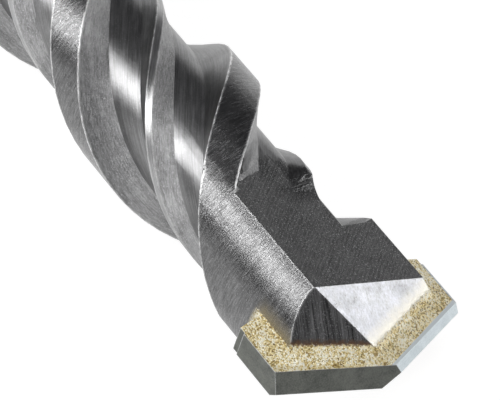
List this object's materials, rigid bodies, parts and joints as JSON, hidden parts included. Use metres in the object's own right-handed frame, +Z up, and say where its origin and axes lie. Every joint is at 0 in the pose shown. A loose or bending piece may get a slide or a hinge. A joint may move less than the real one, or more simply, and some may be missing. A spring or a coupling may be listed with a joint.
{
  "type": "sds plus hammer drill bit",
  "caption": "Masonry hammer drill bit: round shank with open drive slots and closed locking grooves, right-hand helical flutes with lands and small ribs, ground head and brazed carbide tip",
  "frame": {"origin": "centre of the flat strike face, on the axis of the bit", "axes": "+X runs along the axis from the shank to the carbide tip, +Z is up as the bit lies at rest, +Y completes a right-handed frame"},
  "size_m": [0.2, 0.02, 0.0164],
  "materials": {
    "ground_steel": "ground bright steel",
    "carbide": "sintered dark grey carbide with ground edges",
    "braze": "granular golden braze"
  },
  "bodies": {
    "root": {"steel_body": "ground_steel", "carbide_tip": "carbide", "braze": "braze"}
  },
  "joints": []
}
